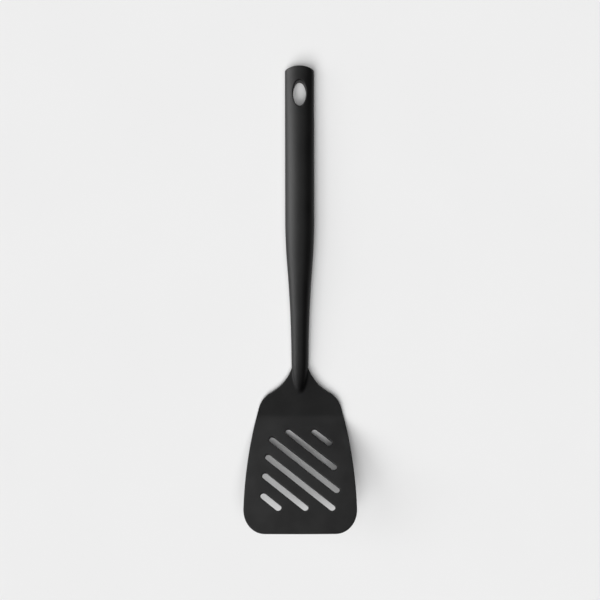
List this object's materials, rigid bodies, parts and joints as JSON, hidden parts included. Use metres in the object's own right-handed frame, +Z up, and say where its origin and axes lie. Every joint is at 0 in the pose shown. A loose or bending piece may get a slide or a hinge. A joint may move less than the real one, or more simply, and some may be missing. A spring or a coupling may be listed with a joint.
{
  "type": "slotted turner",
  "caption": "Matt black nylon kitchen turner with a raised slotted blade, a slim two-shell handle and an oval hanging hole.",
  "frame": {"origin": "centre of the footprint on the bench, with the turner lying food side up on its heel and its handle", "axes": "+Y along the handle towards the hanging hole, +Z up from the bench, +X to the right seen from above with the hanging hole at the top"},
  "size_m": [0.0796, 0.331, 0.0401],
  "materials": {
    "nylon_blade": "fine matt moulded nylon",
    "nylon_handle": "fine matt moulded nylon",
    "stainless": "rolled stainless strip and wire"
  },
  "bodies": {
    "root": {"blade": "nylon_blade", "front_shell": "nylon_handle", "rear_shell": "nylon_handle", "stiffener_bar": "stainless", "tang_rivets": "stainless"}
  },
  "joints": []
}
